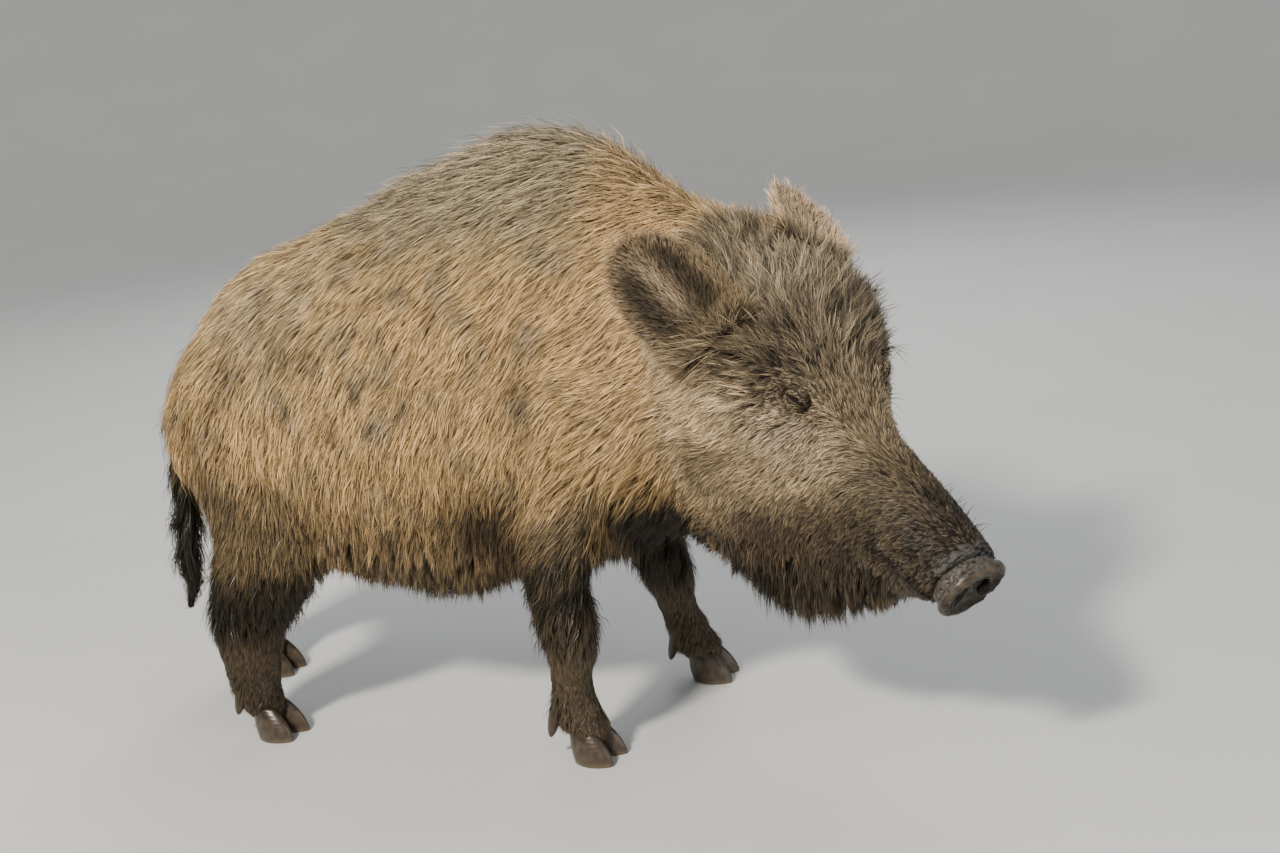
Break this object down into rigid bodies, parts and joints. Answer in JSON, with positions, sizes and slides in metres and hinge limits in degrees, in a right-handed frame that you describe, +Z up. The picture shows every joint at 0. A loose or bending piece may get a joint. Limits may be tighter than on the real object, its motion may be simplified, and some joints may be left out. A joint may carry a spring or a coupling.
{
  "type": "wild boar",
  "caption": "Life-size still model of a wild boar in its winter coat, standing with the head lowered and turned to its right.",
  "frame": {"origin": "on the floor, under the middle of the box that holds the animal", "axes": "+X forwards along the trunk, +Y to the animal's left, +Z up"},
  "size_m": [1.1852, 0.3882, 0.7639],
  "materials": {
    "coat": "coarse bristly winter hair, tan with dark grey-brown gaps",
    "dark_coat": "wet dark brown hair in spiky locks",
    "hoof_horn": "grey-brown horn with mud",
    "snout_skin": "bare wrinkled damp skin",
    "eye": "wet dark eyeball"
  },
  "bodies": {
    "root": {"barrel": "coat", "dewclaw_foreleg_left_inner": "hoof_horn", "dewclaw_foreleg_left_outer": "hoof_horn", "dewclaw_foreleg_right_inner": "hoof_horn", "dewclaw_foreleg_right_outer": "hoof_horn", "dewclaw_hindleg_left_inner": "hoof_horn", "dewclaw_hindleg_left_outer": "hoof_horn", "dewclaw_hindleg_right_inner": "hoof_horn", "dewclaw_hindleg_right_outer": "hoof_horn", "ear_left": "coat", "ear_right": "coat", "eye_left": "eye", "eye_right": "eye", "foreleg_left": "dark_coat", "foreleg_right": "dark_coat", "head": "coat", "hindleg_left": "dark_coat", "hindleg_right": "dark_coat", "hoof_foreleg_left_inner": "hoof_horn", "hoof_foreleg_left_outer": "hoof_horn", "hoof_foreleg_right_inner": "hoof_horn", "hoof_foreleg_right_outer": "hoof_horn", "hoof_hindleg_left_inner": "hoof_horn", "hoof_hindleg_left_outer": "hoof_horn", "hoof_hindleg_right_inner": "hoof_horn", "hoof_hindleg_right_outer": "hoof_horn", "lower_jaw": "dark_coat", "neck": "coat", "rump": "coat", "shoulders": "coat", "snout_disc": "snout_skin", "tail": "dark_coat"}
  },
  "joints": []
}
